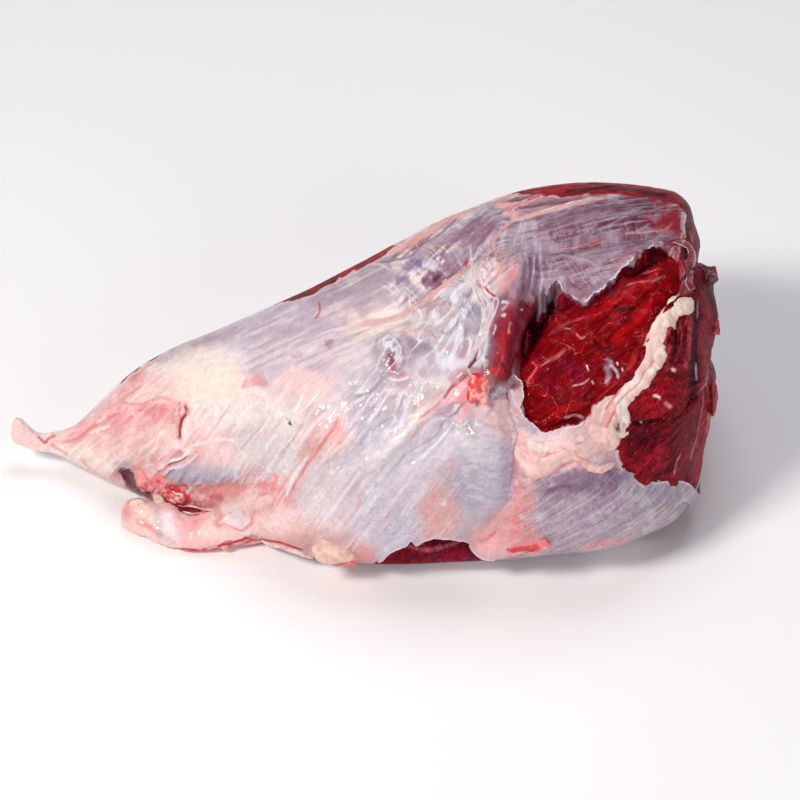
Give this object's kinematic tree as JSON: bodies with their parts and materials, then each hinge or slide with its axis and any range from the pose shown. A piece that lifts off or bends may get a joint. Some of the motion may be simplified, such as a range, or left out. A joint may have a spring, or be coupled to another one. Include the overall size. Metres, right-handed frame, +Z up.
{
  "type": "raw beef round",
  "caption": "Raw boneless beef round, shank end, wrapped in silverskin that narrows to a tendon tail, torn open over dark red lean and resting on its flat side.",
  "frame": {"origin": "centre of the bounding box in plan, on the plane that the meat rests on", "axes": "+X from the tendon tail to the cut end, +Z up, the broad show face towards -Y"},
  "size_m": [0.2876, 0.1572, 0.11],
  "materials": {
    "silverskin": "wet pearly membrane, lilac to pink, over dark muscle",
    "lean": "wet deep red muscle with a coarse grain",
    "fat": "soft pinkish cream fat, slightly waxy",
    "tendon": "smooth moist pink tendon"
  },
  "bodies": {
    "root": {"beef": "silverskin"}
  },
  "joints": []
}
